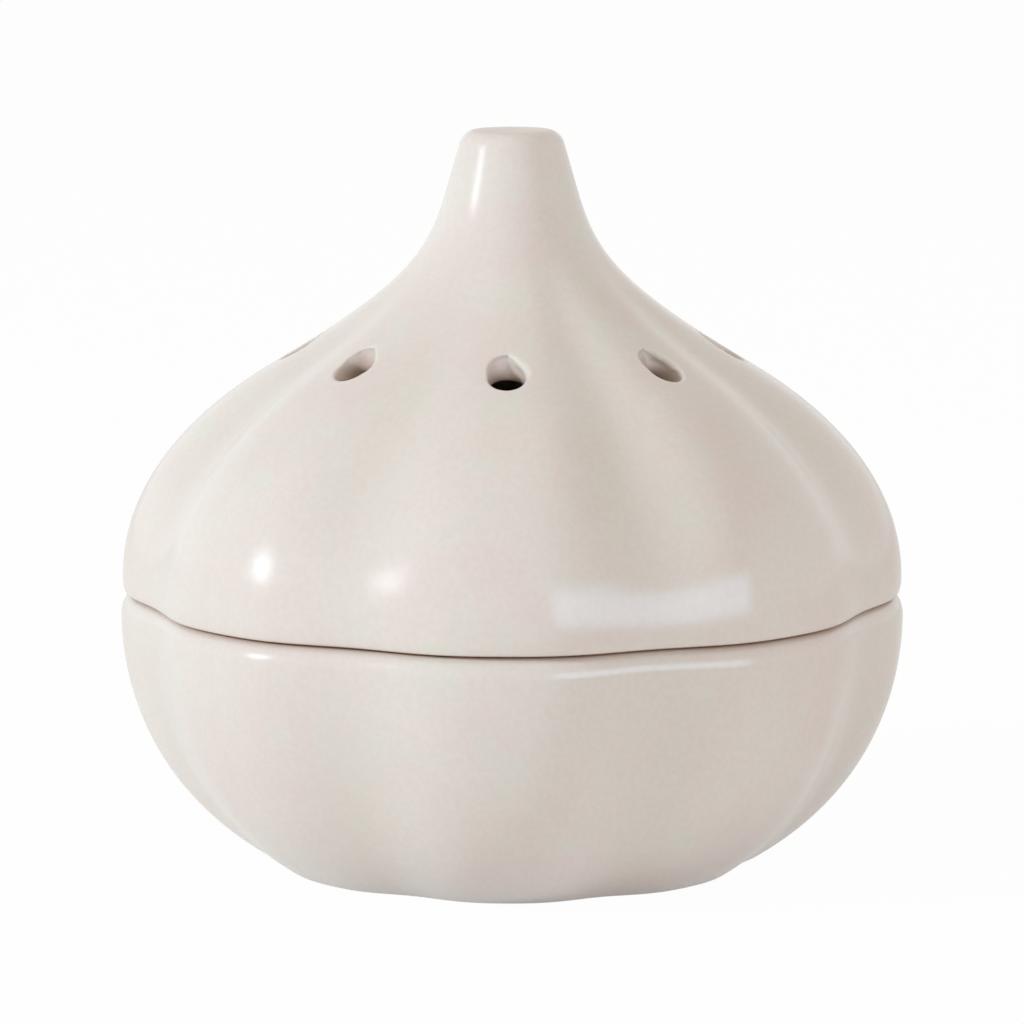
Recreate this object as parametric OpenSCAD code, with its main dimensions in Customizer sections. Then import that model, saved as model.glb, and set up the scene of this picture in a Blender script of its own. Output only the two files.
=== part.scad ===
// Garlic keeper in two pieces of glazed stoneware: a low round bowl, and a vented lid that
// draws up into a stem. Both are pressed into soft lobes, like a head of garlic.
// The origin is the middle of the foot, +Z is up and one lobe faces the front, -Y.
// Every outline below is the one over the crest of a lobe. All sizes are in millimetres.

/* [Overall] */
// Width of the bowl across two opposite lobes
bowl_w = 127.6; // [118:0.2:140]
// Height of the bowl's rim above the table
bowl_h = 43.4; // [38:0.2:54]
// How far the lid's widest line stands back from the bowl's, all round
lid_step = 0.3; // [0:0.1:1.5]
// Height of the lid from the seam to the end of its stem
lid_h = 75.2; // [71:0.2:88]

/* [Lobes] */
// Number of lobes, each with one vent on its crest
lobes = 8; // [5:1:12]
// Depth of the grooves between the lobes at the seam
groove_d = 2.3; // [0.4:0.1:4]
// Depth of the same grooves where they are deepest on the lid
lid_groove_d = 3.7; // [1:0.1:5]
// Height of that place above the seam
lid_groove_h = 25; // [15:1:35]
// Depth of the same grooves where they are deepest on the bowl
bowl_groove_d = 3.2; // [1:0.1:4.4]
// Height of that place above the table
bowl_groove_h = 20; // [12:1:32]
// Depth of the same grooves where they run out on the base
base_groove_d = 1.8; // [0.4:0.1:3]
// Sharpness of the grooves: 1 is an even wave, more draws them in
groove_bite = 1.9; // [1:0.1:3]

/* [Bowl outline] */
// Width of the flat that the bowl stands on
base_w = 79; // [66:1:88]
// Radius of the turn from that flat into the side
base_round = 3.5; // [1:0.5:6]
// Slope of the side as it leaves the base, in degrees above level
base_slope = 31.4; // [24:0.2:45]
// How long the side keeps the slope of the base
base_pull = 24; // [16:1:28]
// How long the side stays upright below the widest line
bowl_pull = 7.7; // [4:0.1:10]
// Radius of the shoulder that the bowl turns in with, up to its rim
bowl_rim_round = 4.3; // [2:0.1:6]
// How far that shoulder has turned in at the rim, in degrees off upright
bowl_rim_turn = 53; // [30:1:80]

/* [Lid outline] */
// Radius that the lid turns in with from its widest line down to its rim
lid_rim_round = 7.5; // [2:0.5:12]
// How far it has turned in at the rim, in degrees off upright
lid_rim_turn = 18; // [8:1:60]
// How long the lid stays upright above its widest line
lid_pull = 20; // [14:1:24]
// Width where the outline turns from round to hollow
shoulder_w = 76.6; // [66:0.2:84]
// Height of that turn above the seam
shoulder_h = 37.3; // [33:0.1:42]
// Slope of the outline at that turn, in degrees above level
shoulder_slope = 31; // [24:1:40]
// How long the outline keeps that slope below the turn
shoulder_pull = 5.5; // [3:0.5:12]
// How long the outline keeps that slope above the turn
neck_pull = 24; // [14:1:28]
// Width of the stem where it starts to run straight
stem_foot_w = 21.4; // [18:0.2:28]
// Height of that place above the seam
stem_foot_h = 65; // [60:0.5:67]
// How long the neck keeps the line of the stem
stem_pull = 10.5; // [5:0.5:14]
// Taper of the stem, in degrees off upright
stem_taper = 16; // [6:1:18]
// Radius of the rounded edge at the end of the stem
stem_round = 2.2; // [0.6:0.2:3]
// Hollow in the end of the stem
stem_dish = 0.4; // [0:0.1:1]

/* [Walls and rims] */
// Wall of the bowl at the bottom of a groove
bowl_wall = 3.4; // [2.8:0.2:6]
// Thickness of the bowl's floor
floor_t = 5; // [4:0.2:8]
// Wall of the lid at the bottom of a groove
lid_wall = 3.2; // [2.6:0.2:6]
// Radius of the small outer edge of both rims
edge_round = 0.5; // [0.2:0.1:1.2]
// Width of the flat seat between bowl and lid, in a groove
seat_w = 3.5; // [2:0.1:6]
// Height of the hollow inside the lid above the seam
hollow_h = 56; // [48:1:62]

/* [Locating ring] */
// Depth of the ring under the lid
ring_d = 6; // [3:0.5:10]
// Thickness of the ring
ring_t = 3; // [2:0.2:5]
// Gap all round between the ring and the bowl's mouth
ring_gap = 1; // [0.4:0.1:2]
// Bevel on the ring's lower outer edge
ring_bevel = 1; // [0.2:0.1:1.6]

/* [Vents] */
// Diameter of the bore of each vent
vent_d = 5.6; // [3:0.2:8]
// How far the softened mouth of each vent widens, all round
vent_lip_w = 0.7; // [0.3:0.1:1.5]
// Depth over which the mouth narrows to the bore
vent_mouth_t = 2.4; // [1:0.2:4]
// Height of the vents above the seam
vent_h = 39.3; // [30:0.1:48]
// Tilt of the bores above level, in degrees
vent_tilt = 36; // [10:1:60]

/* [Foot] */
// Width of the bare ring that the bowl stands on, in a groove
foot_ring_w = 5; // [3:0.2:12]
// Depth of the recess inside that ring
foot_recess = 1.2; // [0.4:0.2:2]

/* [Hidden] */
glaze = "#e2dbd4";
lobe_steps = 12;              // facets round one lobe, even so that grooves get a line too
around = lobes * lobe_steps;  // facets round the body
curve_steps = 12;             // facets along each long curve of an outline
turn_steps = 3;               // facets along each small rounding
cap_steps = 6;                // facets over the rounded top of the lid's hollow
hollow_cap = 6;               // height of that rounded top
smooth = 96;                  // facets of round parts, which stand for true circles
cut = 1;                      // how far a cut runs past the face that it opens
lid_groove_fade = 1.6;        // how soon the lid's grooves fade out on their way up to the stem

lid_w = bowl_w - 2 * lid_step;
seat_r = bowl_w / 2 - rim_in(bowl_rim_round, bowl_rim_turn);  // the seat's outer edge on a crest
mouth_r = seat_r - groove_d - seat_w;
ring_r = mouth_r - ring_gap;
hollow_r = ring_r - ring_t;

// ---- Outlines, as [radius, height] points from the bottom up ----

function mix(a, b, t) = a + (b - a) * t;

// Point at share t of a curve from a to d that leaves towards b and arrives from c
function curve(a, b, c, d, t) =
    mix(mix(mix(a, b, t), mix(b, c, t), t), mix(mix(b, c, t), mix(c, d, t), t), t);

// Points on an arc about a centre, from one angle to another
function arc(centre, r, from, to, n) =
    [for (i = [0:n]) centre + r * [cos(mix(from, to, i / n)), sin(mix(from, to, i / n))]];

function aim(angle) = [cos(angle), sin(angle)];

// A rim turns in on one radius and then over its small edge on to the flat seat: how far in
// and how far along the axis the seat lies from the widest line, and the points between
function rim_in(r, turn) = r - (r - edge_round) * cos(turn);
function rim_along(r, turn) = (r - edge_round) * sin(turn) + edge_round;
function rim(half_w, r, turn) = concat(
    arc([half_w - r, 0], r, 0, turn, turn_steps),
    [for (i = [1:turn_steps]) [half_w - r, 0] + (r - edge_round) * aim(turn)
        + edge_round * aim(mix(turn, 90, i / turn_steps))]);

base_turn = [base_w / 2, base_round] + base_round * aim(base_slope - 90);
bowl_belly = [bowl_w / 2, bowl_h - rim_along(bowl_rim_round, bowl_rim_turn)];
bowl_side = [for (i = [0:curve_steps])
    curve(base_turn, base_turn + base_pull * aim(base_slope),
          bowl_belly - [0, bowl_pull], bowl_belly, i / curve_steps)];
base_edge = arc([base_w / 2, base_round], base_round, -90, base_slope - 90, turn_steps);
bowl_rim = [for (p = rim(bowl_w / 2, bowl_rim_round, bowl_rim_turn)) p + [0, bowl_belly.y]];
bowl_outline = concat(base_edge, [for (i = [1:curve_steps - 1]) bowl_side[i]], bowl_rim);

// The lid's heights count from the seam
lid_belly = [lid_w / 2, rim_along(lid_rim_round, lid_rim_turn)];
shoulder = [shoulder_w / 2, shoulder_h];
shoulder_aim = aim(180 - shoulder_slope);
stem_foot = [stem_foot_w / 2, stem_foot_h];
stem_aim = aim(90 + stem_taper);
stem_end_h = lid_h - stem_round;
stem_end_r = stem_foot.x - (stem_end_h - stem_foot_h) * tan(stem_taper) - stem_round / cos(stem_taper);
lid_side = concat(
    [for (i = [0:curve_steps - 1])
        curve(lid_belly, lid_belly + [0, lid_pull],
              shoulder - shoulder_pull * shoulder_aim, shoulder, i / curve_steps)],
    [for (i = [0:curve_steps])
        curve(shoulder, shoulder + neck_pull * shoulder_aim,
              stem_foot - stem_pull * stem_aim, stem_foot, i / curve_steps)]);
lid_rim_up = [for (p = rim(lid_w / 2, lid_rim_round, lid_rim_turn)) [p.x, lid_belly.y - p.y]];
lid_rim = [for (i = [len(lid_rim_up) - 1:-1:1]) lid_rim_up[i]];
stem_end = arc([stem_end_r, stem_end_h], stem_round, stem_taper, 90, turn_steps);
lid_outline = concat(lid_rim, lid_side, stem_end);

// ---- Lobes ----

// 0 on a crest and 1 in a groove, for an angle from the front
function groove(angle) = pow((1 - cos(lobes * angle)) / 2, groove_bite);

// Runs softly from 0 to 1
function ease(t) = (1 - cos(180 * min(max(t, 0), 1))) / 2;

// Groove depth at a height: deepest part of the way up the bowl and the lid, gone at the stem
function bowl_groove(h) = h < bowl_groove_h
    ? mix(base_groove_d, bowl_groove_d, sin(90 * h / bowl_groove_h))
    : mix(bowl_groove_d, groove_d, 1 - cos(90 * (h - bowl_groove_h) / (bowl_h - bowl_groove_h)));
function lid_groove(h) = h < lid_groove_h
    ? mix(groove_d, lid_groove_d, ease(h / lid_groove_h))
    : lid_groove_d * pow(1 - ease((h - lid_groove_h) / (stem_foot_h - lid_groove_h)), lid_groove_fade);

// Closed lobed solid round an outline, given the groove depth at each of its points
module lobed(outline, depths, end_h) {
    rings = len(outline);
    points = concat(
        [for (i = [0:rings - 1], j = [0:around - 1])
            let (angle = 360 * j / around, r = outline[i].x - depths[i] * groove(angle))
            [r * sin(angle), -r * cos(angle), outline[i].y]],
        [[0, 0, outline[0].y], [0, 0, end_h]]);
    sides = [for (i = [0:rings - 2], j = [0:around - 1])
        let (k = (j + 1) % around, low = i * around, high = low + around)
        each [[low + j, high + j, high + k], [low + j, high + k, low + k]]];
    top = (rings - 1) * around;
    ends = [for (j = [0:around - 1])
        let (k = (j + 1) % around)
        each [[rings * around, j, k], [rings * around + 1, top + k, top + j]]];
    polyhedron(points, concat(sides, ends), convexity = 8);
}

// Outline moved inwards by a wall
function inset(outline, wall) = [for (i = [1:len(outline) - 2])
    let (along = outline[i + 1] - outline[i - 1])
    outline[i] + wall / norm(along) * [-along.y, along.x]];

// ---- Bowl ----

bowl_inside = [for (p = inset([for (p = bowl_side) p - [bowl_groove(p.y), 0]], bowl_wall))
    if (p.y > floor_t) [min(p.x, mouth_r), p.y]];
floor_r = bowl_inside[0].x - (bowl_inside[0].y - floor_t) / tan(base_slope);
foot_recess_r = base_w / 2 - base_groove_d - foot_ring_w;

module bowl() {
    color(glaze) difference() {
        lobed(bowl_outline, [for (p = bowl_outline) bowl_groove(p.y)], bowl_h);
        rotate_extrude($fn = smooth) polygon(concat(
            [[0, floor_t], [floor_r, floor_t]],
            bowl_inside,
            [[mouth_r, bowl_h + cut], [0, bowl_h + cut]]));
        translate([0, 0, -cut]) cylinder(h = foot_recess + cut, r = foot_recess_r, $fn = smooth);
    }
}

// ---- Lid ----

lid_inside = [for (p = inset([for (p = lid_side) p - [lid_groove(p.y), 0]], lid_wall))
    if (p.y < hollow_h - hollow_cap) [min(p.x, hollow_r), p.y]];
hollow_end = lid_inside[len(lid_inside) - 1];
vent_r = lookup(vent_h, [for (p = lid_outline) [p.y, p.x]]);
vent_reach = 4 * lid_wall;
vent_mouth_d = vent_d + 2 * vent_lip_w;

// Ring that drops into the bowl's mouth and keeps the lid centred
module locating_ring() {
    rotate_extrude($fn = smooth) polygon([
        [0, -ring_d], [ring_r - ring_bevel, -ring_d], [ring_r, ring_bevel - ring_d],
        [ring_r, lid_belly.y], [0, lid_belly.y]]);
}

// Bore through the wall on the crest that faces the front, with its mouth softened
module vent() {
    translate([0, -vent_r, vent_h]) rotate([90 - vent_tilt, 0, 0]) {
        cylinder(h = 2 * vent_reach, d = vent_d, center = true, $fn = smooth / 2);
        flare = 2 * vent_lip_w / vent_mouth_t;
        translate([0, 0, -vent_mouth_t]) cylinder(
            h = vent_mouth_t + vent_mouth_d, d1 = vent_d,
            d2 = vent_mouth_d + flare * vent_mouth_d, $fn = smooth / 2);
    }
}

module lid() {
    color(glaze) translate([0, 0, bowl_h]) difference() {
        union() {
            lobed(lid_outline, [for (p = lid_outline) lid_groove(p.y)], lid_h - stem_dish);
            locating_ring();
        }
        rotate_extrude($fn = smooth) polygon(concat(
            [[0, -ring_d - cut], [hollow_r, -ring_d - cut]],
            lid_inside,
            [for (a = [90 / cap_steps:90 / cap_steps:90])
                [hollow_end.x * cos(a), mix(hollow_end.y, hollow_h, sin(a))]]));
        for (i = [0:lobes - 1]) rotate([0, 0, 360 * i / lobes]) vent();
    }
}

bowl();
lid();
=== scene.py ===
# Garlic keeper: a lobed bowl and a vented lid in glazed stoneware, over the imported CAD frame.
# Outlines are worked out in millimetres and turned to metres as each mesh is made.
import math

import bmesh
import bpy
import numpy as np
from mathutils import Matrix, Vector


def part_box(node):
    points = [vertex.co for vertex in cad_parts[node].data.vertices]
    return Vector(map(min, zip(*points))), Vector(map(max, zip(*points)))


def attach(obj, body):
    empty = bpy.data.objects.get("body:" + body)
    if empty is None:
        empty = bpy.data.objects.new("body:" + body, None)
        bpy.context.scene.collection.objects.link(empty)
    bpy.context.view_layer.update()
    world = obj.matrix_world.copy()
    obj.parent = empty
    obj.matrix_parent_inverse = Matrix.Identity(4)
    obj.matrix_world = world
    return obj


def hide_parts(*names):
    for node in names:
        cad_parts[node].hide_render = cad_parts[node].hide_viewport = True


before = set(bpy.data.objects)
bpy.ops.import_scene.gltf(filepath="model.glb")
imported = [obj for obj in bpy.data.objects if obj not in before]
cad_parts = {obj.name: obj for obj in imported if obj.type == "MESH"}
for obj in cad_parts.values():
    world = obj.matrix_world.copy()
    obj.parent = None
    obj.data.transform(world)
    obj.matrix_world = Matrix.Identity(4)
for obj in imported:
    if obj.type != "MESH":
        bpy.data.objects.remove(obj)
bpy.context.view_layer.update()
mm = 0.001

# Overall sizes come from the frame, the rest repeats the CAD outlines
bowlLow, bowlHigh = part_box("bowl")
lidLow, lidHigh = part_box("lid")
seamH = bowlHigh.z / mm

lobeShape = {
    "lobes": 8,
    "seamDepth": 2.3,         # depth of the grooves at the seam
    "lidDepth": 3.7,          # and where they are deepest on the lid
    "lidDepthHeight": 25.0,   # above the seam
    "lidFade": 1.6,           # more than 1 lets them fade sooner on the way to the stem
    "bowlDepth": 3.2,
    "bowlDepthHeight": 20.0,
    "baseDepth": 1.8,         # where they run out on the base
    "bite": 1.9,              # 1 is an even wave, more draws the grooves in
    "columns": 40,            # mesh columns across one lobe
    "mergeDistance": 0.01,    # lobes are sewn together within this
}

# A pull is how far a curve keeps its direction after a point, or takes it up before one
bowlShape = {
    "width": (bowlHigh.x - bowlLow.x) / mm,
    "baseWidth": 79.0,
    "baseRound": 3.5,
    "baseSlope": 31.4,          # above level, where the side leaves the base
    "basePull": 24.0,
    "sidePull": 7.7,
    "rimRound": 4.3,
    "rimTurn": 53.0,            # degrees that the rim turns in before its edge
    "wall": 3.4,
    "floor": 5.0,
    "floorTurnHeight": 1.5,     # the wall starts this far above the floor
    "floorTurnWidth": 5.5,      # and the floor this far short of the wall
    "floorTurnFlat": 2.5,       # its curve aims level up to this far short of the wall
    "floorTurnPull": 1.6,
    "floorTurnSlope": 8.0,      # above the base's slope
    "mouthRadius": 55.99,
    "footRecess": 1.2,
    "footRecessRadius": 32.7,
    "bareMargin": 1.0,          # the bare foot ring stops this short of the base's edge
}

lidShape = {
    "width": (lidHigh.x - lidLow.x) / mm,
    "height": lidHigh.z / mm - seamH,
    "rimRound": 7.5,
    "rimTurn": 18.0,
    "sidePull": 20.0,
    "shoulderWidth": 76.6,      # where the side's bulge turns into the neck's hollow
    "shoulderHeight": 37.3,
    "shoulderSlope": 31.0,
    "shoulderPull": 5.5,
    "neckPull": 24.0,
    "stemFootWidth": 21.4,
    "stemFootHeight": 65.0,
    "stemPull": 10.5,
    "stemTaper": 16.0,
    "stemRound": 2.8,
    "stemCrown": 0.15,
    "stemThin": 0.45,           # thin, dull glaze on the stem's end
    "stemThinDrop": 0.8,        # it starts this far below the top
    "stemThinSpan": 0.7,        # and is full this much higher
    "wall": 3.2,
    "hollowHeight": 56.0,
    "hollowCap": 6.0,
    "ringDepth": seamH - lidLow.z / mm,
    "ringRadius": 54.99,
    "ringThickness": 3.0,
    "ringBevel": 1.0,
}

ventShape = {
    "bore": 5.6,
    "height": 39.3,         # above the seam
    "tilt": 36.0,           # above level
    "flareTop": 2.2,        # how far the mouth opens beyond the bore at its upper end
    "flareLeft": 0.2,
    "flareFoot": 0.1,
    "cutShare": 0.65,       # how nearly straight the mouth's upper right side is
    "edge": 0.5,            # rounding of the mouth's edge
    "edgeSoft": 1.3,        # and at its upper right, where it is softest
    "softRise": (1.6, 0.5),  # gain and start of the softening upwards, and to the right
    "softLean": (2.2, 0.4),
    "edgeTurn": 80.0,       # degrees that the edge turns in
    "margin": 0.1,          # between the edge and the skin's own mesh
    "pinch": 0.8,           # how much lower the bore's roof is at its inner end
    "innerLip": 0.8,
    "thinMouth": 0.3,       # how thin the glaze is on the edge; in the bore and on the inner lip it is also painted shade, darker further in
    "wallThinAndShade": 0.5,
    "lipThinAndShade": 0.6,
    "blockRows": 14,        # grid rows and columns that one vent takes the place of
    "blockColumns": 20,
}

edgeRound = 0.5       # small edges of both rims
cornerRound = 0.5     # small corners of the foot, the mouth and the ring
thinEdge = 1.0        # the glaze is drawn thin this far up or down from a rim's edge
seamGap = 0.2         # how far each seat stands back near its outer edge
seamGapWidth = 1.6    # measured in from that edge
seamGapSlope = 0.5    # width over which it opens

# Spacing of the mesh rows along each outline
rowStep = {"bowlSkin": 1.1, "bowlInside": 1.6, "lidSkin": 1.05, "lidInside": 0.95}


def aim(degrees):
    return np.array([math.cos(math.radians(degrees)), math.sin(math.radians(degrees))])


def arc(centre, radius, start, end, steps):
    return np.array([np.add(centre, radius * aim(a)) for a in np.linspace(start, end, steps + 1)])


def curve(a, b, c, d, steps=60):
    t = np.linspace(0, 1, steps + 1)[:, None]
    return a * (1 - t) ** 3 + 3 * b * t * (1 - t) ** 2 + 3 * c * t * t * (1 - t) + d * t ** 3


def line(a, b, steps):
    return np.linspace(np.array(a, float), np.array(b, float), steps + 1)


# One list of points out of several that meet end to end
def join(*parts):
    points = [parts[0][0]]
    for part in parts:
        points += [p for p in part if np.linalg.norm(p - points[-1]) > 1e-6]
    return np.array(points)


# The same line with its points an even step apart
def even(points, step):
    lengths = np.concatenate([[0], np.cumsum(np.linalg.norm(np.diff(points, axis=0), axis=1))])
    count = max(1, round(lengths[-1] / step))
    at = np.linspace(0, lengths[-1], count + 1)
    return np.stack([np.interp(at, lengths, points[:, k]) for k in (0, 1)], axis=1)


# A rim turns in on one radius, then over its small edge on to the flat seat
def rimPoints(halfWidth, radius, turn):
    centre = np.array([halfWidth - radius, 0.0])
    return join(arc(centre, radius, 0, turn, 14),
                arc(centre + (radius - edgeRound) * aim(turn), edgeRound, turn, 90, 5))


# The line moved inwards by a wall
def inset(points, wall):
    along = np.gradient(points, axis=0)
    along /= np.linalg.norm(along, axis=1)[:, None]
    return points + wall * np.stack([-along[:, 1], along[:, 0]], axis=1)


# Runs softly from 0 to 1
def ease(t):
    return (1 - np.cos(math.pi * np.clip(t, 0, 1))) / 2


# How far a seat stands back from the seam at a radius: the two touch further in
def seatBack(radius, edgeRadius):
    return seamGap * ease((radius - edgeRadius + seamGapWidth) / seamGapSlope)


# Groove depth at a height: deepest part of the way up on either piece, gone at the stem
def bowlGroove(h):
    g, deepH = lobeShape, lobeShape["bowlDepthHeight"]
    below = np.sin(math.pi / 2 * np.clip(h / deepH, 0, 1))
    above = 1 - np.cos(math.pi / 2 * np.clip((h - deepH) / (seamH - deepH), 0, 1))
    return np.where(h < deepH, g["baseDepth"] + (g["bowlDepth"] - g["baseDepth"]) * below,
                    g["bowlDepth"] + (g["seamDepth"] - g["bowlDepth"]) * above)


def lidGroove(h):
    g, up = lobeShape, np.asarray(h) - seamH
    deepH, end = lobeShape["lidDepthHeight"], lidShape["stemFootHeight"]
    below = g["seamDepth"] + (g["lidDepth"] - g["seamDepth"]) * ease(up / deepH)
    above = g["lidDepth"] * (1 - ease((up - deepH) / (end - deepH))) ** g["lidFade"]
    return np.where(up < deepH, below, above)


# An outline has a row per point: radius, height, groove depth, glaze thinness, bare clay
def outlinePart(points, depth=0.0, bare=0.0):
    n = len(points)
    return np.column_stack([points, np.ones(n) * depth, np.zeros(n), np.ones(n) * bare])


# Groove depth of a flat ring that is round at one radius and follows the lobes at the other
def spread(radii, roundRadius, lobedRadius, depth):
    return depth * np.clip((radii - roundRadius) / (lobedRadius - roundRadius), 0, 1)


def joinParts(*parts):
    rows = [parts[0][0]]
    for part in parts:
        rows += [r for r in part if np.linalg.norm(r[:2] - rows[-1][:2]) > 1e-6]
    return np.array(rows)


halfLobe = math.pi / lobeShape["lobes"]
columnAngles = np.linspace(-halfLobe, halfLobe, lobeShape["columns"] + 1)


# Sector of one lobe, still round: points, faces and the values carried at each point
class Sector:
    def __init__(self):
        self.points, self.values, self.faces = [], [], []

    def add(self, point, values):
        self.points.append(point)
        self.values.append(values)
        return len(self.points) - 1

    def grid(self, outline, skip=()):
        rows = [[self.add((r * math.sin(a), -r * math.cos(a), z), rest) for a in columnAngles]
                for r, z, *rest in outline]
        for i in range(len(rows) - 1):
            for j in range(len(columnAngles) - 1):
                if not any(i0 <= i < i1 and j0 <= j < j1 for i0, i1, j0, j1 in skip):
                    self.faces.append((rows[i][j], rows[i][j + 1], rows[i + 1][j + 1], rows[i + 1][j]))
        return rows

    def bridge(self, ringA, ringB):
        n = len(ringA)
        for k in range(n):
            self.faces.append((ringA[k], ringA[(k + 1) % n], ringB[(k + 1) % n], ringB[k]))

    def toObject(self, name):
        mesh = bpy.data.meshes.new(name)
        mesh.from_pydata((np.array(self.points) * mm).tolist(), [], self.faces)
        for k, label in enumerate(("grooveDepth", "thinGlaze", "bareClay")):
            attribute = mesh.attributes.new(label, "FLOAT", "POINT")
            attribute.data.foreach_set("value", np.array([v[k] for v in self.values], np.float32))
        piece = bpy.data.objects.new(name, mesh)
        bpy.context.scene.collection.objects.link(piece)
        return piece


# A link is written as (node, output), a plain value is set on the socket
def addNode(tree, kind, settings=None, **inputs):
    node = tree.nodes.new(kind)
    for key, value in (settings or {}).items():
        setattr(node, key, value)
    for key, value in inputs.items():
        label = key.replace("_", " ")
        socket = node.inputs[int(label[5:])] if label.startswith("input") else node.inputs[label]
        if isinstance(value, tuple) and isinstance(value[0], bpy.types.Node):
            tree.links.new(value[0].outputs[value[1]], socket)
        else:
            socket.default_value = value
    return node


# Spreads the nodes out, so that the tree can be read
def arrange(tree):
    for k, node in enumerate(tree.nodes):
        node.location = (220 * (k % 12), -260 * (k // 12))


def fromHex(code):
    parts = [int(code[k:k + 2], 16) / 255 for k in (1, 3, 5)]
    return tuple([c / 12.92 if c <= 0.04045 else ((c + 0.055) / 1.055) ** 2.4 for c in parts] + [1.0])


glazeLook = {
    "cream": "#e4ddd4",        # the glaze where it lies at its usual thickness
    "blush": "#e4d9d1",        # warmer clouds in it
    "sage": "#e0dfd4",         # and faintly green ones
    "sageShare": 0.7,
    "pooled": "#dfd8cd",       # painted shade, darker in the grooves the deeper they are
    "grooveShadeShare": 0.5,
    "thin": "#b59482",         # drawn off an edge, so that the clay shows through; deep in the vents it is painted shade too
    "thinAndShadeShare": 0.6,
    "cloudSize": 9.0,          # mm across
    "sageSize": 5.0,
    "grainSize": 0.55,
    "waveSize": 9.0,           # slow unevenness of the fired surface
    "waveHeight": 0.08,
    "peelSize": 1.7,           # orange peel
    "peelHeight": 0.006,
    "roughLow": 0.16,
    "roughHigh": 0.20,
    "thinRough": 0.3,
    "ior": 1.52,
}

bisqueLook = {
    "clay": "#d9c7b2",
    "darkGrain": "#bfa88f",
    "grainSize": 0.5,
    "grainHeight": 0.03,
    "roughness": 0.85,
}


# Noise scale at which its blobs are about this many millimetres across
def blobs(size):
    return 0.6 / (size * mm)
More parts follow.
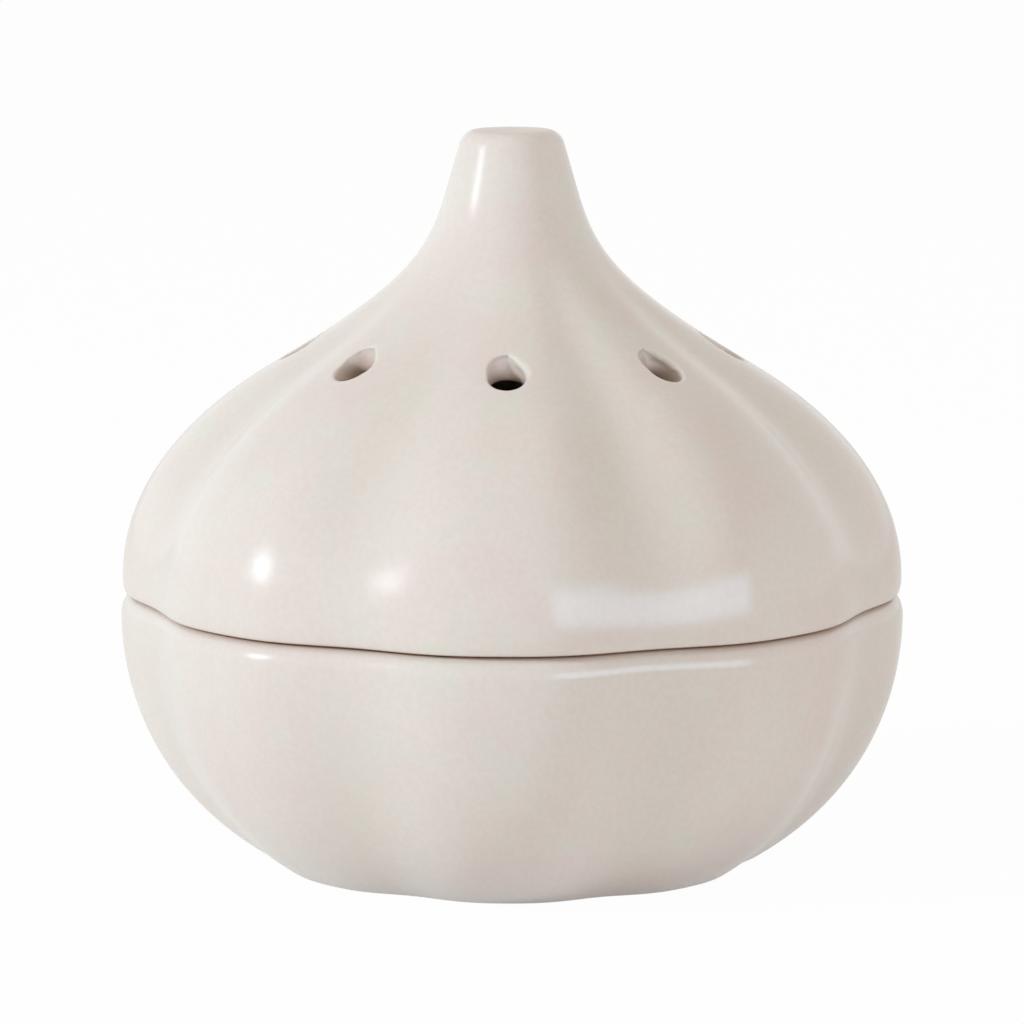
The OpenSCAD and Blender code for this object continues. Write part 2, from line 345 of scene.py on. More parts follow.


# Glazed stoneware, dipped in a cream semi-opaque glaze and fired glossy. The eye gets a soft gloss with
# slightly blurred lamps in it, faint warm and greenish clouds, tan edges where it ran thin, and painted shade
# in the grooves and deep in the vents
def makeGlaze():
    look = glazeLook
    material = bpy.data.materials.new("glazedStoneware")
    material.use_nodes = True
    tree = material.node_tree
    shader = tree.nodes["Principled BSDF"]
    shader.inputs["IOR"].default_value = look["ior"]
    place = addNode(tree, "ShaderNodeTexCoord")
    soft = {"clamp": True, "interpolation_type": "SMOOTHSTEP"}

    # Warm clouds and faintly green ones
    clouds = addNode(tree, "ShaderNodeTexNoise", Vector=(place, "Object"), Scale=blobs(look["cloudSize"]),
                     Detail=2.0, Roughness=0.55)
    warmth = addNode(tree, "ShaderNodeMapRange", soft, input0=(clouds, 0), input1=0.36, input2=0.66)
    base = addNode(tree, "ShaderNodeMix", {"data_type": "RGBA"}, input0=(warmth, 0),
                   input6=fromHex(look["cream"]), input7=fromHex(look["blush"]))
    moved = addNode(tree, "ShaderNodeMapping", Vector=(place, "Object"), Location=(0.3, 0.1, 0.2))
    green = addNode(tree, "ShaderNodeTexNoise", Vector=(moved, 0), Scale=blobs(look["sageSize"]),
                    Detail=2.0, Roughness=0.55)
    greenShare = addNode(tree, "ShaderNodeMapRange", soft, input0=(green, 0), input1=0.5, input2=0.72,
                         input4=look["sageShare"])
    tinted = addNode(tree, "ShaderNodeMix", {"data_type": "RGBA"}, input0=(greenShare, 0),
                     input6=(base, 2), input7=fromHex(look["sage"]))

    # Painted shade: the grooves are drawn darker the deeper they are pressed in
    pooled = addNode(tree, "ShaderNodeAttribute", {"attribute_name": "pooledGlaze"})
    grooveShadeShare = addNode(tree, "ShaderNodeMapRange", soft, input0=(pooled, "Fac"), input1=0.8, input2=3.4,
                          input4=look["grooveShadeShare"])
    shadedGrooves = addNode(tree, "ShaderNodeMix", {"data_type": "RGBA"}, input0=(grooveShadeShare, 0),
                   input6=(tinted, 2), input7=fromHex(look["pooled"]))

    # Real grain is finer than a pixel, so it is drawn at about half a millimetre
    grain = addNode(tree, "ShaderNodeTexNoise", Vector=(place, "Object"), Scale=blobs(look["grainSize"]),
                    Detail=1.0, Roughness=0.5)
    speck = addNode(tree, "ShaderNodeMapRange", soft, input0=(grain, 0), input1=0.3, input2=0.7,
                    input3=0.98, input4=1.01)
    grained = addNode(tree, "ShaderNodeVectorMath", {"operation": "SCALE"},
                      input0=(shadedGrooves, 2), Scale=(speck, 0))

    # Thin edges, a little uneven along their length; in the vents' bores the same tan is painted shade
    thin = addNode(tree, "ShaderNodeAttribute", {"attribute_name": "thinGlaze"})
    ragged = addNode(tree, "ShaderNodeMath", {"operation": "MULTIPLY_ADD"},
                     input0=(clouds, 0), input1=0.5, input2=-0.25)
    raggedThinAndShade = addNode(tree, "ShaderNodeMath", {"operation": "ADD"}, input0=(thin, "Fac"), input1=(ragged, 0))
    thinAndShadeShare = addNode(tree, "ShaderNodeMapRange", soft, input0=(raggedThinAndShade, 0), input1=0.15, input2=1.05,
                        input4=look["thinAndShadeShare"])
    withThinAndShade = addNode(tree, "ShaderNodeMix", {"data_type": "RGBA"}, input0=(thinAndShadeShare, 0),
                    input6=(grained, 0), input7=fromHex(look["thin"]))
    tree.links.new(withThinAndShade.outputs[2], shader.inputs["Base Color"])

    # A little uneven in gloss, and duller where it is thin
    rough = addNode(tree, "ShaderNodeMapRange", soft, input0=(green, 0), input1=0.3, input2=0.7,
                    input3=look["roughLow"], input4=look["roughHigh"])
    duller = addNode(tree, "ShaderNodeMath", {"operation": "MULTIPLY_ADD"}, input0=(thin, "Fac"),
                     input1=look["thinRough"], input2=(rough, 0))
    tree.links.new(duller.outputs[0], shader.inputs["Roughness"])

    # Slow waves of the fired surface under a fine orange peel
    shifted = addNode(tree, "ShaderNodeMapping", Vector=(place, "Object"), Location=(0.7, 0.4, 0.5))
    waves = addNode(tree, "ShaderNodeTexNoise", Vector=(shifted, 0), Scale=blobs(look["waveSize"]),
                    Detail=1.0, Roughness=0.5)
    peel = addNode(tree, "ShaderNodeTexNoise", Vector=(place, "Object"), Scale=blobs(look["peelSize"]),
                   Detail=1.0, Roughness=0.5)
    slow = addNode(tree, "ShaderNodeBump", Strength=1.0, Distance=look["waveHeight"] * mm,
                   Height=(waves, 0))
    fine = addNode(tree, "ShaderNodeBump", Strength=1.0, Distance=look["peelHeight"] * mm,
                   Height=(peel, 0), Normal=(slow, 0))
    tree.links.new(fine.outputs[0], shader.inputs["Normal"])
    arrange(tree)
    return material


# Bare bisque stoneware on the foot ring and the two seats, wiped clean of glaze before firing: matt,
# warm and slightly sandy. Its grog is about 0.2 mm, drawn at 0.5 mm to show
def makeBisque():
    look = bisqueLook
    material = bpy.data.materials.new("bareBisque")
    material.use_nodes = True
    tree = material.node_tree
    shader = tree.nodes["Principled BSDF"]
    shader.inputs["Roughness"].default_value = look["roughness"]
    place = addNode(tree, "ShaderNodeTexCoord")
    grain = addNode(tree, "ShaderNodeTexNoise", Vector=(place, "Object"), Scale=blobs(look["grainSize"]),
                    Detail=3.0, Roughness=0.55)
    share = addNode(tree, "ShaderNodeMapRange", {"clamp": True}, input0=(grain, 0), input1=0.4, input2=0.7)
    colour = addNode(tree, "ShaderNodeMix", {"data_type": "RGBA"}, input0=(share, 0),
                     input6=fromHex(look["clay"]), input7=fromHex(look["darkGrain"]))
    tree.links.new(colour.outputs[2], shader.inputs["Base Color"])
    sand = addNode(tree, "ShaderNodeBump", Strength=1.0, Distance=look["grainHeight"] * mm,
                   Height=(grain, 0))
    tree.links.new(sand.outputs[0], shader.inputs["Normal"])
    arrange(tree)
    return material


glaze = makeGlaze()
bisque = makeBisque()
print("glaze and bare clay made")


# Geometry nodes that press the grooves into one sector and repeat it round the axis
def makeLobeTree():
    tree = bpy.data.node_groups.new("pressAndRepeatLobes", "GeometryNodeTree")
    face = tree.interface
    face.new_socket("Geometry", in_out="INPUT", socket_type="NodeSocketGeometry")
    for label, kind in (("Lobes", "Int"), ("Groove bite", "Float"), ("Merge distance", "Float"),
                        ("Glaze", "Material"), ("Bare clay", "Material")):
        face.new_socket(label, in_out="INPUT", socket_type="NodeSocket" + kind)
    face.new_socket("Geometry", in_out="OUTPUT", socket_type="NodeSocketGeometry")
    given = addNode(tree, "NodeGroupInput")

    # Groove share at each point: 0 on the crest, 1 in the groove
    place = addNode(tree, "GeometryNodeInputPosition")
    split = addNode(tree, "ShaderNodeSeparateXYZ", Vector=(place, 0))
    back = addNode(tree, "ShaderNodeMath", {"operation": "MULTIPLY"}, input0=(split, 1), input1=-1.0)
    angle = addNode(tree, "ShaderNodeMath", {"operation": "ARCTAN2"},
                    input0=(split, 0), input1=(back, 0))
    turned = addNode(tree, "ShaderNodeMath", {"operation": "MULTIPLY"},
                     input0=(angle, 0), input1=(given, 1))
    wave = addNode(tree, "ShaderNodeMath", {"operation": "COSINE"}, input0=(turned, 0))
    half = addNode(tree, "ShaderNodeMath", {"operation": "MULTIPLY_ADD"},
                   input0=(wave, 0), input1=-0.5, input2=0.5)
    share = addNode(tree, "ShaderNodeMath", {"operation": "POWER"}, input0=(half, 0), input1=(given, 2))

    # Press the groove straight in towards the axis
    depth = addNode(tree, "GeometryNodeInputNamedAttribute", {"data_type": "FLOAT"}, Name="grooveDepth")
    press = addNode(tree, "ShaderNodeMath", {"operation": "MULTIPLY"}, input0=(depth, 0), input1=(share, 0))
    inMetres = addNode(tree, "ShaderNodeMath", {"operation": "MULTIPLY"}, input0=(press, 0), input1=-mm)
    level = addNode(tree, "ShaderNodeCombineXYZ", X=(split, 0), Y=(split, 1))
    outward = addNode(tree, "ShaderNodeVectorMath", {"operation": "NORMALIZE"}, input0=(level, 0))
    offset = addNode(tree, "ShaderNodeVectorMath", {"operation": "SCALE"},
                     input0=(outward, 0), Scale=(inMetres, 0))
    pressed = addNode(tree, "GeometryNodeSetPosition", Geometry=(given, 0), Offset=(offset, 0))
    # Keeps how far each point was pressed in, which the glaze turns into painted groove shade
    pooled = addNode(tree, "GeometryNodeStoreNamedAttribute", {"data_type": "FLOAT", "domain": "POINT"},
                     Geometry=(pressed, 0), Name="pooledGlaze", Value=(press, 0))

    # One lobe on each turned point, made real and sewn together
    points = addNode(tree, "GeometryNodeMeshLine", Count=(given, 1), Offset=(0, 0, 0))
    index = addNode(tree, "GeometryNodeInputIndex")
    step = addNode(tree, "ShaderNodeMath", {"operation": "DIVIDE"}, input0=2 * math.pi, input1=(given, 1))
    turn = addNode(tree, "ShaderNodeMath", {"operation": "MULTIPLY"}, input0=(index, 0), input1=(step, 0))
    turns = addNode(tree, "ShaderNodeCombineXYZ", Z=(turn, 0))
    copies = addNode(tree, "GeometryNodeInstanceOnPoints", Points=(points, 0), Instance=(pooled, 0),
                     Rotation=(turns, 0))
    real = addNode(tree, "GeometryNodeRealizeInstances", Geometry=(copies, 0))
    sewn = addNode(tree, "GeometryNodeMergeByDistance", Geometry=(real, 0), Distance=(given, 3))
    smooth = addNode(tree, "GeometryNodeSetShadeSmooth", Geometry=(sewn, 0))
    glazed = addNode(tree, "GeometryNodeSetMaterial", Geometry=(smooth, 0), Material=(given, 4))
    bareness = addNode(tree, "GeometryNodeInputNamedAttribute", {"data_type": "FLOAT"}, Name="bareClay")
    isBare = addNode(tree, "ShaderNodeMath", {"operation": "GREATER_THAN"},
                     input0=(bareness, 0), input1=0.99)
    bared = addNode(tree, "GeometryNodeSetMaterial", Geometry=(glazed, 0), Selection=(isBare, 0),
                    Material=(given, 5))
    result = addNode(tree, "NodeGroupOutput")
    tree.links.new(bared.outputs[0], result.inputs[0])
    arrange(tree)
    return tree


lobeTree = makeLobeTree()


# Runs the tree on a sector and keeps its result as a plain closed mesh
def bakeLobes(sector, name):
    source = sector.toObject(name + "Sector")
    modifier = source.modifiers.new("lobes", "NODES")
    modifier.node_group = lobeTree
    wanted = {"Lobes": lobeShape["lobes"], "Groove bite": lobeShape["bite"],
              "Merge distance": lobeShape["mergeDistance"] * mm, "Glaze": glaze, "Bare clay": bisque}
    for item in lobeTree.interface.items_tree:
        if item.in_out == "INPUT" and item.name in wanted:
            modifier[item.identifier] = wanted[item.name]
    evaluated = source.evaluated_get(bpy.context.evaluated_depsgraph_get())
    mesh = bpy.data.meshes.new_from_object(evaluated)
    source.modifiers.remove(modifier)
    bpy.data.objects.remove(source)
    work = bmesh.new()
    work.from_mesh(mesh)
    bmesh.ops.recalc_face_normals(work, faces=work.faces)
    openEdges = sum(1 for e in work.edges if len(e.link_faces) != 2)
    work.to_mesh(mesh)
    work.free()
    mesh.name = name
    piece = bpy.data.objects.new(name, mesh)
    bpy.context.scene.collection.objects.link(piece)
    print(name, len(mesh.polygons), "faces,", openEdges, "open edges")
    return piece


# Outer side with its rim, and the inside wall with the turn into the floor
def bowlOutlines():
    b = bowlShape
    baseCentre = np.array([b["baseWidth"] / 2, b["baseRound"]])
    turn = baseCentre + b["baseRound"] * aim(b["baseSlope"] - 90)
    rim = rimPoints(b["width"] / 2, b["rimRound"], b["rimTurn"])
    belly = np.array([b["width"] / 2, seamH - rim[-1][1]])
    side = curve(turn, turn + b["basePull"] * aim(b["baseSlope"]), belly - [0, b["sidePull"]], belly)
    outer = join(arc(baseCentre, b["baseRound"], -90, b["baseSlope"] - 90, 6),
                 even(side, rowStep["bowlSkin"]), rim + [0, belly[1]])
    inner = inset(side - np.column_stack([bowlGroove(side[:, 1]), 0 * side[:, 1]]), b["wall"])
    inner[:, 0] = np.minimum(inner[:, 0], b["mouthRadius"])
    inner = inner[inner[:, 1] > b["floor"] + b["floorTurnHeight"]]
    wallFoot = inner[0]
    floorTurn = curve(np.array([wallFoot[0] - b["floorTurnWidth"], b["floor"]]),
                      np.array([wallFoot[0] - b["floorTurnFlat"], b["floor"]]),
                      wallFoot - b["floorTurnPull"] * aim(b["baseSlope"] + b["floorTurnSlope"]), wallFoot, 8)
    return outer, inner, floorTurn


def makeBowl():
    b = bowlShape
    outer, inner, floorTurn = bowlOutlines()
    mouth, mouthEdge = b["mouthRadius"], b["mouthRadius"] + cornerRound
    recess = b["footRecess"]
    footIn, footOut = b["footRecessRadius"], b["baseWidth"] / 2 - b["bareMargin"]

    foot = outlinePart(join(
        line((0, recess), (footIn - cornerRound, recess), 18),
        arc((footIn - cornerRound, recess - cornerRound), cornerRound, 90, 0, 3),
        line((footIn, recess - cornerRound), (footIn, 0), 1),
        line((footIn, 0), (footOut, 0), 4)), bare=1.0)
    foot[:, 2] = spread(foot[:, 0], footIn, footOut, lobeShape["baseDepth"])
    skin = outlinePart(outer, depth=bowlGroove(outer[:, 1]))
    nearSeam = np.clip(1 - (seamH - skin[:, 1]) / thinEdge, 0, 1)
    skin[:, 3] = nearSeam ** 2
    skin[:, 1] -= seamGap * nearSeam
    seat = outlinePart(line(outer[-1], (mouthEdge, seamH), 14), bare=1.0)
    seat[:, 1] -= seatBack(seat[:, 0], outer[-1][0])
    seat[:, 2] = spread(seat[:, 0], mouthEdge, outer[-1][0], lobeShape["seamDepth"])
    inside = outlinePart(join(
        arc((mouthEdge, seamH - cornerRound), cornerRound, 90, 180, 4),
        even(join(line((mouth, seamH - cornerRound), inner[-1], 2), inner[::-1]), rowStep["bowlInside"]),
        floorTurn[::-1],
        line(floorTurn[0], (0, b["floor"]), 20)))
    sector = Sector()
    sector.grid(joinParts(foot, skin, seat, inside))
    return bakeLobes(sector, "bowlGlazed")


bowlPiece = makeBowl()
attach(bowlPiece, "bowl")
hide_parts("bowl")


# Rim, side, stem's end, the hollow's wall and the cap over it, with the seam at height 0
def lidOutlines():
    s = lidShape
    rim = rimPoints(s["width"] / 2, s["rimRound"], s["rimTurn"])
    bellyH = rim[-1][1]
    rimDown = np.column_stack([rim[:, 0], bellyH - rim[:, 1]])[::-1]
    belly = np.array([s["width"] / 2, bellyH])
    shoulder = np.array([s["shoulderWidth"] / 2, s["shoulderHeight"]])
    shoulderAim = aim(180 - s["shoulderSlope"])
    stemFoot = np.array([s["stemFootWidth"] / 2, s["stemFootHeight"]])
    stemAim = aim(90 + s["stemTaper"])
    side = join(
        curve(belly, belly + [0, s["sidePull"]], shoulder - s["shoulderPull"] * shoulderAim, shoulder),
        curve(shoulder, shoulder + s["neckPull"] * shoulderAim, stemFoot - s["stemPull"] * stemAim, stemFoot))
    endH = s["height"] - s["stemCrown"] - s["stemRound"]
    slope = math.radians(s["stemTaper"])
    endR = stemFoot[0] - (endH - stemFoot[1]) * math.tan(slope) - s["stemRound"] / math.cos(slope)
    stemEnd = arc((endR, endH), s["stemRound"], s["stemTaper"], 90, 9)
    inner = inset(side - np.column_stack([lidGroove(side[:, 1] + seamH), 0 * side[:, 1]]), s["wall"])
    hollowR = s["ringRadius"] - s["ringThickness"]
    inner[:, 0] = np.minimum(inner[:, 0], hollowR)
    inner = inner[inner[:, 1] < s["hollowHeight"] - s["hollowCap"]]
    capR, capFoot = inner[-1]
    cap = np.array([[capR * math.cos(a), capFoot + (s["hollowHeight"] - capFoot) * math.sin(a)]
                    for a in np.linspace(0, math.pi / 2, 13)])
    return rimDown, side, stemEnd, inner, cap


# A vent's bore, with its middle on the skin. Turns and reaches are in its section, square to it
class Bore:
    def __init__(self, skin, inside):
        tilt = math.radians(ventShape["tilt"])
        height = ventShape["height"] + seamH
        self.middle = np.array([0, -float(np.interp(height, skin[:, 1], skin[:, 0])), height])
        self.across = np.array([1.0, 0, 0])
        self.up = np.array([0, math.sin(tilt), math.cos(tilt)])
        self.along = np.array([0, -math.cos(tilt), math.sin(tilt)])
        # Each outline with the stretch of the bore on which it is looked for
        self.skin = (skin, -9.0, 9.0)
        self.inside = (inside, -14.0, 2.0)

    def place(self, reach, turn, t):
        return (self.middle + (reach * np.cos(turn))[:, None] * self.across
                + (reach * np.sin(turn))[:, None] * self.up + t[:, None] * self.along)

    # How far along the bore a ring's points meet a round outline, found by halving
    def meet(self, reach, turn, surface):
        outline, low, high = surface
        order = np.argsort(outline[:, 1])
        heights, radii = outline[order, 1], outline[order, 0]
        near, far = np.full(len(reach), low), np.full(len(reach), high)
        for _ in range(50):
            t = (near + far) / 2
            p = self.place(reach, turn, t)
            outside = np.hypot(p[:, 0], p[:, 1]) > np.interp(p[:, 2], heights, radii)
            far = np.where(outside, t, far)
            near = np.where(outside, near, t)
        return (near + far) / 2

    def turnsAndReaches(self, points):
        p = np.array(points) - self.middle
        a, b = p @ self.across, p @ self.up
        return np.unwrap(np.arctan2(b, a)), np.hypot(a, b)


# Indices round a block of the grid, in order
def blockEdge(rows, i0, i1, j0, j1):
    return ([rows[i0][j] for j in range(j0, j1)] + [rows[i][j1] for i in range(i0, i1)]
            + [rows[i1][j] for j in range(j1, j0, -1)] + [rows[i][j0] for i in range(i1, i0, -1)])


# Rows and columns of the grid that a vent at a height takes the place of
def blockOf(outline, height):
    middle = int(np.argmin(np.abs(outline[:, 1] - height)))
    halfRows = ventShape["blockRows"] // 2
    start = (lobeShape["columns"] - ventShape["blockColumns"]) // 2
    return middle - halfRows, middle + halfRows, start, start + ventShape["blockColumns"]


# Rings from the hole in the skin over the mouth's edge, through the bore to the hole in the hollow
def addVent(sector, bore, outEdge, inEdge):
    v, radius, count = ventShape, ventShape["bore"] / 2, len(outEdge)
    outTurn, outReach = bore.turnsAndReaches([sector.points[k] for k in outEdge])
    inTurn, inReach = bore.turnsAndReaches([sector.points[k] for k in inEdge])
    evenTurn = np.arange(count) * 2 * math.pi / count * np.sign(outTurn[-1] - outTurn[0])
    turn = evenTurn + np.mean(outTurn - evenTurn)
    inTurn += 2 * math.pi * round(np.mean(turn - inTurn) / (2 * math.pi))

    def addRing(points, depthShare, thin):
        return [sector.add(tuple(q), [float(lidGroove(q[2])) * depthShare, thin, 0.0]) for q in points]

    def ringOn(surface, reach, turns, drop=0.0, depthShare=0.0, thin=0.0):
        t = bore.meet(reach, turns, surface) + drop
        return addRing(bore.place(reach, turns, t), depthShare, thin), t

    # The mouth leans back from the bore at its upper left and is cut nearly straight at its upper right
    rise, lean = np.sin(turn), np.cos(turn)
    upperRight = (rise > 0) & (lean > 0)
    full = v["flareLeft"] + (np.where(rise > 0, v["flareTop"], v["flareFoot"]) - v["flareLeft"]) * rise ** 2
    straight = np.maximum(1 / (np.abs(lean) / radius + np.abs(rise) / (radius + v["flareTop"])) - radius, 0)
    flare = np.where(upperRight, v["cutShare"] * straight + (1 - v["cutShare"]) * full, full)
    riseGain, riseStart = v["softRise"]
    leanGain, leanStart = v["softLean"]
    softness = ease(rise * riseGain + riseStart) * ease(lean * leanGain + leanStart)
    edge = v["edge"] + (v["edgeSoft"] - v["edge"]) * softness

    rings = [outEdge]
    for share in (0.2, 0.4, 0.6, 0.8, 1.0):
        reach = outReach + (radius + flare + edge + v["margin"] - outReach) * share
        turns = outTurn + (turn - outTurn) * share
        rings.append(ringOn(bore.skin, reach, turns, depthShare=1.0)[0])
    for a in np.linspace(0, math.radians(v["edgeTurn"]), 9):
        mouth, mouthT = ringOn(bore.skin, radius + flare + edge * (1 - math.sin(a)), turn,
                               -edge * (1 - math.cos(a)), 1.0, v["thinMouth"] * math.sin(a))
        rings.append(mouth)

    # Under the straighter part the wall falls back a little from the edge
    wallReach = radius + (flare + full) / 2
    innerReach = radius - v["pinch"] * np.maximum(rise, 0) ** 2
    innerT = bore.meet(innerReach, turn, bore.inside) + v["innerLip"]
    # Along the bore and on the inner lip the thin glaze also paints the bore's shade, darker and browner
    # further in
    for share in (0.15, 0.35, 0.55, 0.75, 0.9):
        reach = wallReach + (innerReach - wallReach) * math.sin(share * math.pi / 2)
        points = bore.place(reach, turn, mouthT + (innerT - mouthT) * share)
        rings.append(addRing(points, 1 - share, v["wallThinAndShade"] + (1 - v["wallThinAndShade"]) * share))
    for a in np.linspace(math.pi / 2, 0, 6):
        rings.append(ringOn(bore.inside, innerReach + v["innerLip"] * (1 - math.sin(a)), turn,
                            v["innerLip"] * (1 - math.cos(a)), thin=v["lipThinAndShade"] * math.sin(a))[0])
    lipReach = innerReach + v["innerLip"]
    for share in (0.25, 0.5, 0.75):
        reach = lipReach + (inReach - lipReach) * share
        turns = turn + (inTurn - turn) * share
        rings.append(ringOn(bore.inside, reach, turns)[0])
    rings.append(inEdge)
    for a, b in zip(rings, rings[1:]):
        sector.bridge(a, b)


# Seat and locating ring, from the rim's inner edge to the foot of the hollow's wall
def lidUnderside(rimEdge, wallFoot):
    s = lidShape
    ringR, hollowR, ringH = s["ringRadius"], s["ringRadius"] - s["ringThickness"], -s["ringDepth"]
    seatIn, bevel = ringR + cornerRound, s["ringBevel"]
    lift = np.array([0, seamH])
    seat = outlinePart(line(rimEdge, (seatIn, 0), 14) + lift, bare=1.0)
    seat[:, 1] += seatBack(seat[:, 0], rimEdge[0])
    seat[:, 2] = spread(seat[:, 0], seatIn, rimEdge[0], lobeShape["seamDepth"])
    ring = outlinePart(join(
        line((seatIn, 0), (ringR, -cornerRound), 1),
        line((ringR, -cornerRound), (ringR, ringH + bevel), 4),
        arc((ringR - bevel, ringH + bevel), bevel, 0, -90, 5),
        line((ringR - bevel, ringH), (hollowR + bevel / 2, ringH), 1),
        arc((hollowR + bevel / 2, ringH + bevel / 2), bevel / 2, -90, -180, 4),
        line((hollowR, ringH + bevel / 2), wallFoot, 12)) + lift)
    return seat, ring


def makeLid():
    s = lidShape
    rimDown, side, stemEnd, inner, cap = lidOutlines()
    lift = np.array([0, seamH])
    outer = even(side, rowStep["lidSkin"]) + lift
    inward = even(inner, rowStep["lidInside"]) + lift

    seat, ring = lidUnderside(rimDown[0], inner[0])
    rim = outlinePart(rimDown + lift, depth=lidGroove(rimDown[:, 1] + seamH))
    nearSeam = np.clip(1 - rimDown[:, 1] / thinEdge, 0, 1)
    rim[:, 3] = nearSeam ** 2
    rim[:, 1] += seamGap * nearSeam
    skin = outlinePart(outer, depth=lidGroove(outer[:, 1]))
    endR, endH = stemEnd[-1]
    top = np.array([[endR * (1 - k), endH + s["stemCrown"] * (1 - (1 - k) ** 2)]
                    for k in np.linspace(0, 1, 8)])
    crown = outlinePart(join(line(side[-1], stemEnd[0], 8), stemEnd, top) + lift)
    thinFoot = seamH + s["height"] - s["stemThinDrop"]
    crown[:, 3] = s["stemThin"] * ease((crown[:, 1] - thinFoot) / s["stemThinSpan"])

    bore = Bore(outer, inward)
    innerT = bore.meet(np.zeros(1), np.zeros(1), bore.inside)[0]
    outBlock = blockOf(outer, bore.middle[2])
    inBlock = blockOf(inward, bore.middle[2] + innerT * bore.along[2])

    sector = Sector()
    skinRows = sector.grid(skin, skip=[outBlock])
    hollowRows = sector.grid(outlinePart(inward), skip=[inBlock])
    sector.grid(joinParts(ring[::-1], seat[::-1], rim))
    sector.grid(crown)
    sector.grid(outlinePart(cap + lift))
    addVent(sector, bore, blockEdge(skinRows, *outBlock), blockEdge(hollowRows, *inBlock))
    return bakeLobes(sector, "lidGlazed")


lidPiece = makeLid()
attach(lidPiece, "lid")
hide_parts("lid")


# In metres and degrees
cameraPlace = {
    "distance": 0.800,      # from the axis, level
    "height": 0.1808,
    "azimuth": 1.33,        # degrees to the right of the front crest
    "aimHeight": 0.0560,
    "lens": 174.4,
    "sensor": 36.0,
    "clipStart": 0.05,
}


def makeCamera():
    c = cameraPlace
    camera = bpy.data.objects.new("camera", bpy.data.cameras.new("camera"))
    bpy.context.scene.collection.objects.link(camera)
    turn = math.radians(c["azimuth"])
    camera.location = (c["distance"] * math.sin(turn), -c["distance"] * math.cos(turn), c["height"])
    sight = np.array([0, 0, c["aimHeight"]]) - np.array(camera.location)
    pitch = math.atan2(sight[2], math.hypot(sight[0], sight[1]))
    camera.rotation_euler = (math.pi / 2 + pitch, 0, turn)
    camera.data.lens = c["lens"]
    camera.data.sensor_width = c["sensor"]
    camera.data.clip_start = c["clipStart"]
    bpy.context.scene.camera = camera


makeCamera()
print("camera placed")

lampAim = np.array([0, 0, 0.06])


# A light that faces the keeper from an azimuth (0 is the front, 90 the right) and elevation
def addLight(name, azimuth, elevation, distance, size, power, shape, colour, lights=True, shines=True):
    data = bpy.data.lights.new(name, "AREA")
    data.shape = shape
    data.size = size[0]
    if len(size) > 1:
        data.size_y = size[1]
    data.energy = power
    data.color = fromHex(colour)[:3]
    lamp = bpy.data.objects.new(name, data)
    bpy.context.scene.collection.objects.link(lamp)
    a, e = math.radians(azimuth), math.radians(elevation)
    away = np.array([math.sin(a) * math.cos(e), -math.cos(a) * math.cos(e), math.sin(e)])
    lamp.location = lampAim + away * distance
    lamp.rotation_euler = (math.pi / 2 - e, 0, a)
    lamp.visible_diffuse = lights
    lamp.visible_glossy = shines


# An umbrella lamp on the left, seen in the gloss as a glow that is brightest at its middle.
# Lamps in one place would hide each other from the gloss, so each stands a little further off
addLight("keyLamp", -67.5, 19, 1.34, (0.22,), 10.3, "DISK", "#e5f0ff", shines=False)
for k, (size, power) in enumerate(((0.10, 0.2), (0.22, 0.45), (0.34, 0.9), (0.46, 1.1))):
    addLight("keyShine", -67.5, 19, 1.30 + 0.01 * k, (size,), power, "DISK", "#e5f0ff", lights=False)

# A window on the right, and the ceiling
addLight("windowPanel", 42, 9, 1.62, (1.2, 0.62), 6.4, "RECTANGLE", "#e6e8ff", shines=False)
addLight("windowShine", 41.5, 9, 1.6, (1.25, 0.6), 6.9, "RECTANGLE", "#b8deff", lights=False)
addLight("topPanel", 0, 90, 1.5, (1.0, 1.0), 1.1, "RECTANGLE", "#fff0ec")


# The paper glows a little, so that it is white to the camera and pale in the gloss
floorLook = {
    "halfWidth": 8.0,
    "paper": "#f6f6f5",
    "straightGlow": 0.97,
    "glossGlow": 0.51,
}


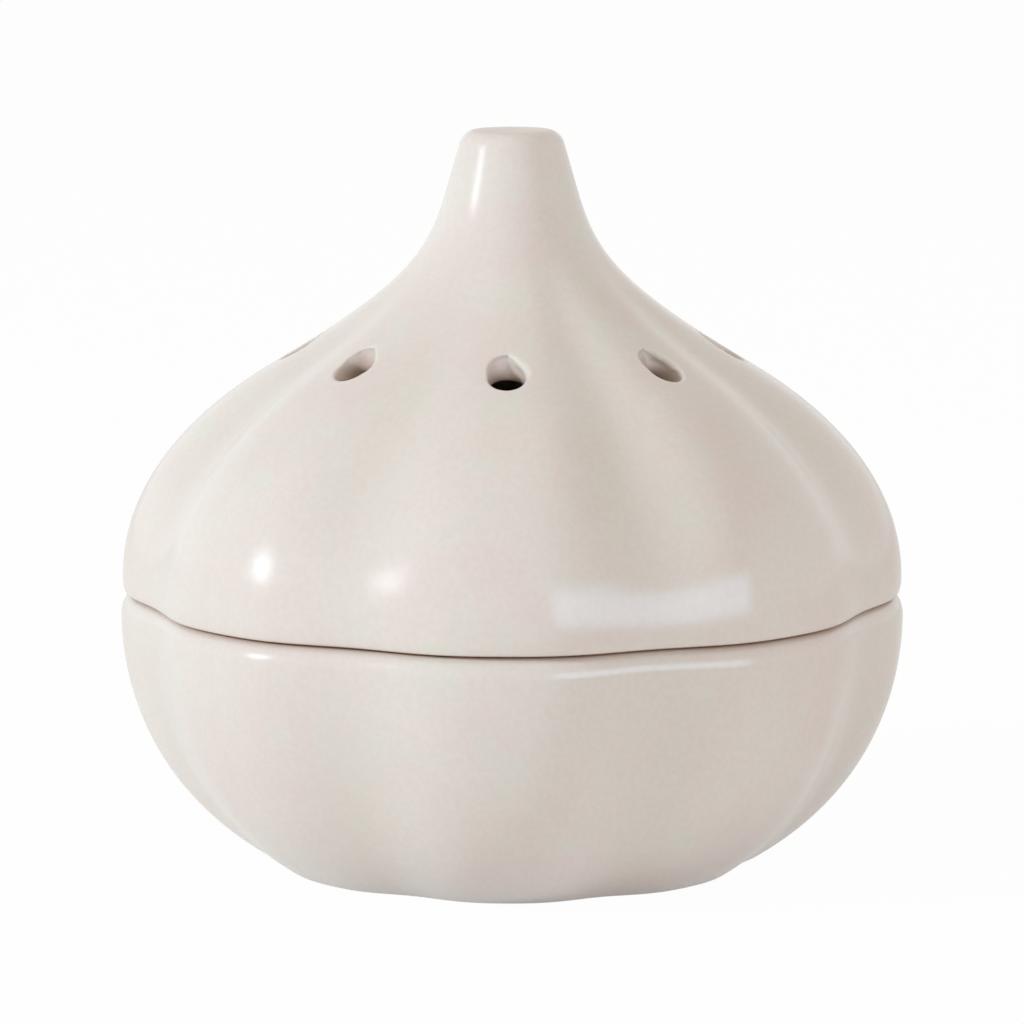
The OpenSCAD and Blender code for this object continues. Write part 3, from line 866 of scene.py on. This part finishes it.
def makeFloor():
    look, r = floorLook, floorLook["halfWidth"]
    mesh = bpy.data.meshes.new("floor")
    mesh.from_pydata([(-r, -r, 0), (r, -r, 0), (r, r, 0), (-r, r, 0)], [], [(0, 1, 2, 3)])
    floor = bpy.data.objects.new("floor", mesh)
    bpy.context.scene.collection.objects.link(floor)
    material = bpy.data.materials.new("whitePaper")
    material.use_nodes = True
    tree = material.node_tree
    tree.nodes.clear()
    paper = addNode(tree, "ShaderNodeBsdfDiffuse", Color=fromHex(look["paper"]))
    glow = addNode(tree, "ShaderNodeEmission", Color=(1, 1, 1, 1), Strength=1.0)
    path = addNode(tree, "ShaderNodeLightPath")
    clear = addNode(tree, "ShaderNodeMath", {"operation": "MAXIMUM"},
                    input0=(path, "Is Camera Ray"), input1=(path, "Is Transmission Ray"))
    straight = addNode(tree, "ShaderNodeMath", {"operation": "MULTIPLY"},
                       input0=(clear, 0), input1=look["straightGlow"])
    share = addNode(tree, "ShaderNodeMath", {"operation": "MULTIPLY_ADD"},
                    input0=(path, "Is Glossy Ray"), input1=look["glossGlow"], input2=(straight, 0))
    mix = addNode(tree, "ShaderNodeMixShader", Fac=(share, 0), input1=(paper, 0), input2=(glow, 0))
    addNode(tree, "ShaderNodeOutputMaterial", Surface=(mix, 0))
    arrange(tree)
    mesh.materials.append(material)


# A dim warm room for the shading, white where it is looked at
def makeWorld():
    world = bpy.data.worlds.new("studio")
    bpy.context.scene.world = world
    world.use_nodes = True
    tree = world.node_tree
    tree.nodes.clear()
    room = addNode(tree, "ShaderNodeBackground", Color=fromHex("#fff7e8"), Strength=0.51)
    white = addNode(tree, "ShaderNodeBackground", Color=(1, 1, 1, 1), Strength=1.0)
    path = addNode(tree, "ShaderNodeLightPath")
    seen = addNode(tree, "ShaderNodeMath", {"operation": "MAXIMUM"},
                   input0=(path, "Is Camera Ray"), input1=(path, "Is Glossy Ray"))
    seenToo = addNode(tree, "ShaderNodeMath", {"operation": "MAXIMUM"},
                      input0=(seen, 0), input1=(path, "Is Transmission Ray"))
    mix = addNode(tree, "ShaderNodeMixShader", Fac=(seenToo, 0), input1=(room, 0), input2=(white, 0))
    addNode(tree, "ShaderNodeOutputWorld", Surface=(mix, 0))
    arrange(tree)


makeFloor()
makeWorld()
bpy.context.scene.view_settings.view_transform = "Standard"
print("floor, lights and background made")
